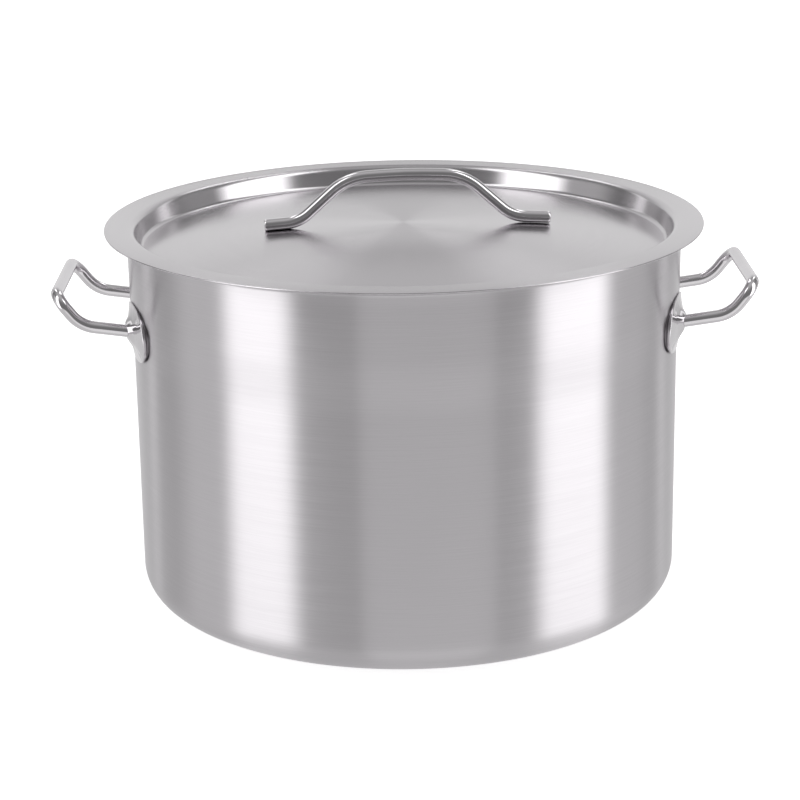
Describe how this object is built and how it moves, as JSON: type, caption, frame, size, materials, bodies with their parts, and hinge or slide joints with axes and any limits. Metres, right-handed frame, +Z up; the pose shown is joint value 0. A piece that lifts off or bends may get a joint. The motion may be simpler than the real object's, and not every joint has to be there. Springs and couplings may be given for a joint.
{
  "type": "stock pot",
  "caption": "Round straight-sided metal stock pot with a flat sandwich base, looped side handles on oval brackets, and a lift-off dished lid with a raised bar handle.",
  "frame": {"origin": "middle of the base's underside, on the surface that the pot stands on", "axes": "+Z up; X through the side handles, with handle_right at +X; Y from front (-Y) to back (+Y)"},
  "size_m": [0.4582, 0.3924, 0.2885],
  "materials": {
    "pot_steel": "satin, with fine horizontal brushing round the wall",
    "lid_steel": "satin, with fine brushing in rings about the middle of the lid",
    "base_steel": "satin, turned in rings, lightly scuffed",
    "base_aluminium": "plain rolled, hidden inside the base",
    "polished_steel": "mirror-polished stainless steel"
  },
  "bodies": {
    "pot": {"pot_shell": "pot_steel", "base_core": "base_aluminium", "base_cap": "base_steel", "handle_left": "polished_steel", "handle_right": "polished_steel", "bracket_left_front": "polished_steel", "bracket_left_rear": "polished_steel", "bracket_right_front": "polished_steel", "bracket_right_rear": "polished_steel"},
    "lid": {"lid_pan": "lid_steel", "lid_handle": "polished_steel"}
  },
  "joints": [
    {"name": "lid_lift", "type": "slide", "parent": "pot", "child": "lid", "axis": [0, 0, 1], "range_m": [0, 0.2]}
  ]
}
